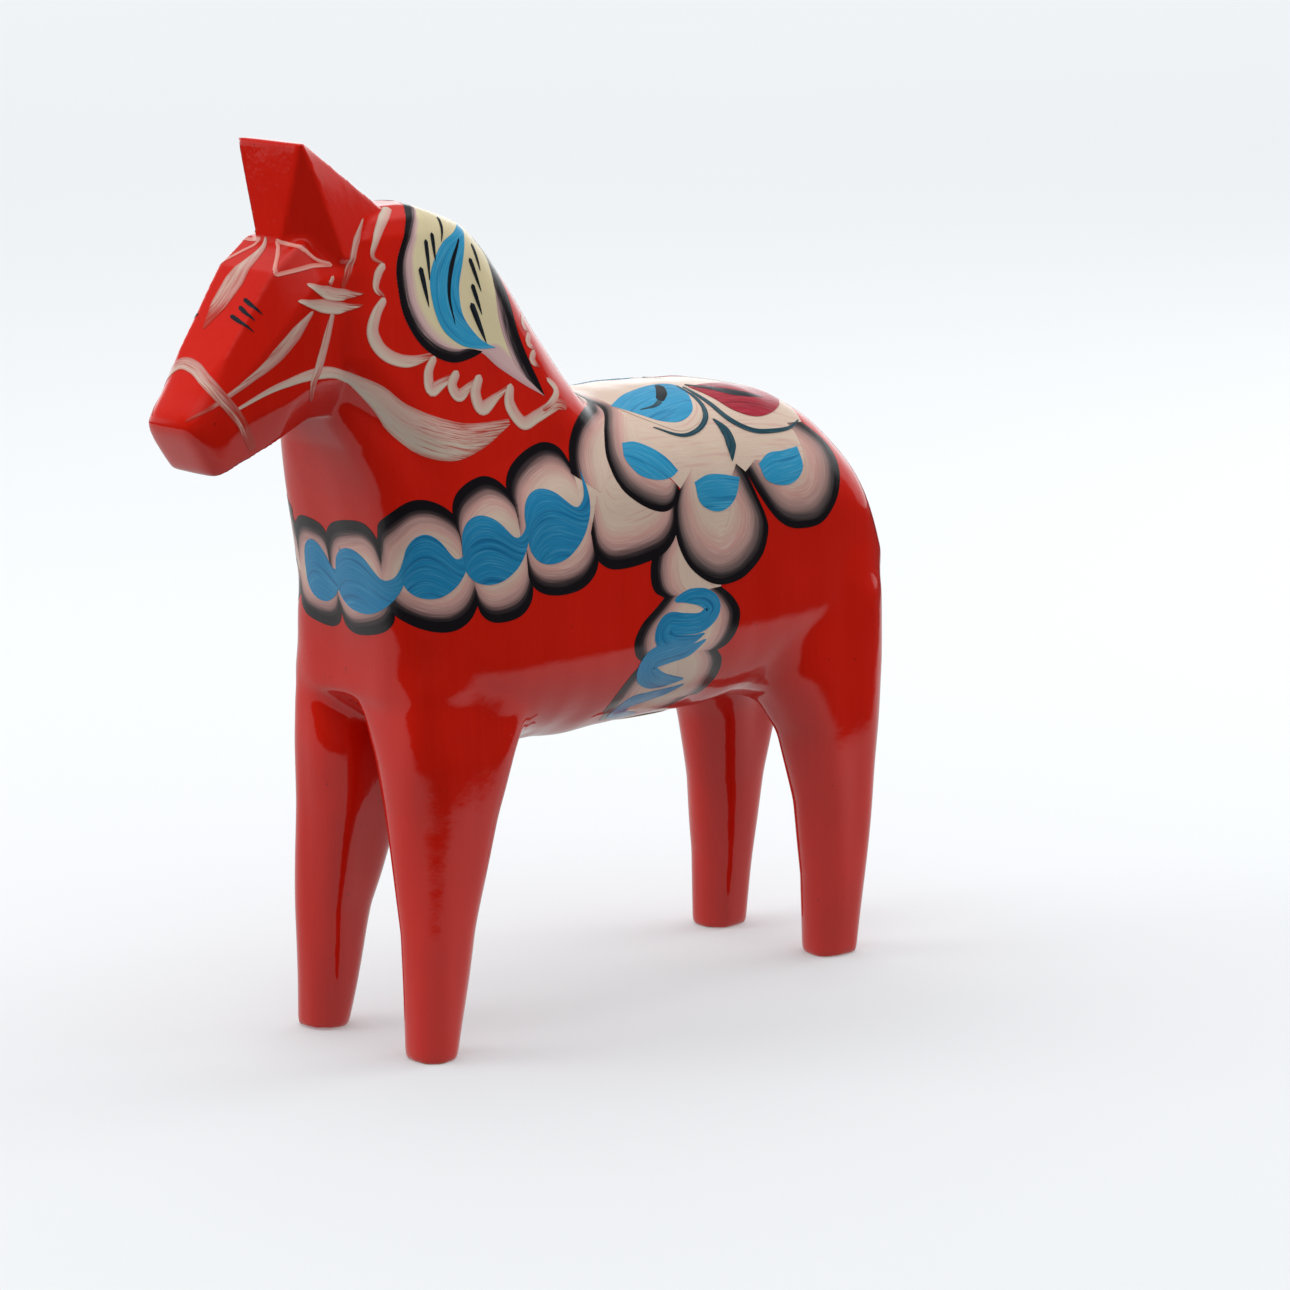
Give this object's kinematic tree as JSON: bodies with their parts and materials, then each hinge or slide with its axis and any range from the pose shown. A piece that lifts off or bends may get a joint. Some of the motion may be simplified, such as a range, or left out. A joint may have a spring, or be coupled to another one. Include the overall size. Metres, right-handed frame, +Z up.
{
  "type": "carved wooden folk-art horse figurine",
  "caption": "Carved standing toy horse in glued-up pine, red lacquer with a painted harness, mane and saddle; rests on straight legs.",
  "frame": {"origin": "on the floor, at the centre of the horse's overall box", "axes": "+Z up, the horse faces -Y, its left side is +X"},
  "size_m": [0.0842, 0.332, 0.33],
  "materials": {
    "lacquered_pine": "pine, primed and painted opaque red, folk painting over it, gloss varnish",
    "label_paper": "matt paper, blank"
  },
  "bodies": {
    "root": {"belly_label": "label_paper", "centre_chest_stave": "lacquered_pine", "centre_head_stave": "lacquered_pine", "centre_loin_stave": "lacquered_pine", "centre_rib_stave": "lacquered_pine", "centre_rump_stave": "lacquered_pine", "left_foreleg_stave": "lacquered_pine", "left_head_stave": "lacquered_pine", "left_hindleg_stave": "lacquered_pine", "left_loin_stave": "lacquered_pine", "left_rib_stave": "lacquered_pine", "right_foreleg_stave": "lacquered_pine", "right_head_stave": "lacquered_pine", "right_hindleg_stave": "lacquered_pine", "right_loin_stave": "lacquered_pine", "right_rib_stave": "lacquered_pine"}
  },
  "joints": []
}
